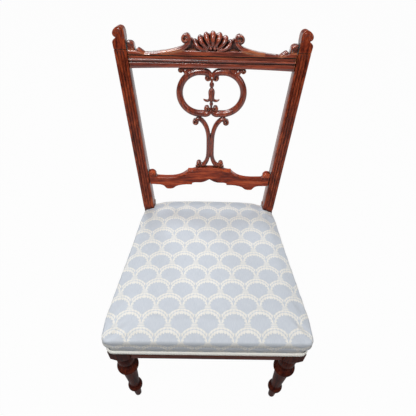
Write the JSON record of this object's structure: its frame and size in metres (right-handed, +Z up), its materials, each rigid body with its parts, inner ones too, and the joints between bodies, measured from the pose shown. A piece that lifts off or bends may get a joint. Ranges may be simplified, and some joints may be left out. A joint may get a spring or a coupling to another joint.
{
  "type": "upholstered salon side chair",
  "caption": "Carved wooden side chair: raked open back with shell crest and pierced scroll splat, turned front legs, crowned upholstered seat with braid.",
  "frame": {"origin": "floor point under the middle of the chair's bounding box", "axes": "+Z up from the floor, -Y is the way the sitter faces, +X to the sitter's left"},
  "size_m": [0.458, 0.5295, 0.888],
  "materials": {
    "stained_wood": "reddish brown stain, satin polish",
    "pale_beech": "bare sawn beech",
    "screw_steel": "plain slotted steel",
    "tack_iron": "blued iron",
    "jute_web": "coarse woven jute",
    "jute_cloth": "open woven hessian",
    "black_cloth": "thin black cotton",
    "hair_stuffing": "curled hair",
    "cotton_wadding": "soft cotton felt",
    "woven_cover": "pale blue and cream woven scale pattern",
    "braid": "cream ribbed braid"
  },
  "bodies": {
    "root": {"front_leg_right": "stained_wood", "front_leg_left": "stained_wood", "back_post_right": "stained_wood", "back_post_left": "stained_wood", "crest_rail": "stained_wood", "cross_rail": "stained_wood", "back_splat": "stained_wood", "front_seat_rail": "stained_wood", "back_seat_rail": "stained_wood", "side_seat_rail_right": "stained_wood", "side_seat_rail_left": "stained_wood", "front_corner_block_right": "pale_beech", "front_corner_block_left": "pale_beech", "back_corner_block_right": "pale_beech", "back_corner_block_left": "pale_beech", "seat_rail_dowels": "pale_beech", "corner_block_screws": "screw_steel", "webbing_tacks": "tack_iron", "cover_tacks": "tack_iron", "bottom_cloth_tacks": "tack_iron", "webbing_lengthwise": "jute_web", "webbing_crosswise": "jute_web", "hessian": "jute_cloth", "bottom_cloth": "black_cloth", "seat_stuffing": "hair_stuffing", "wadding": "cotton_wadding", "seat_cover": "woven_cover", "seat_trimming": "braid"}
  },
  "joints": []
}
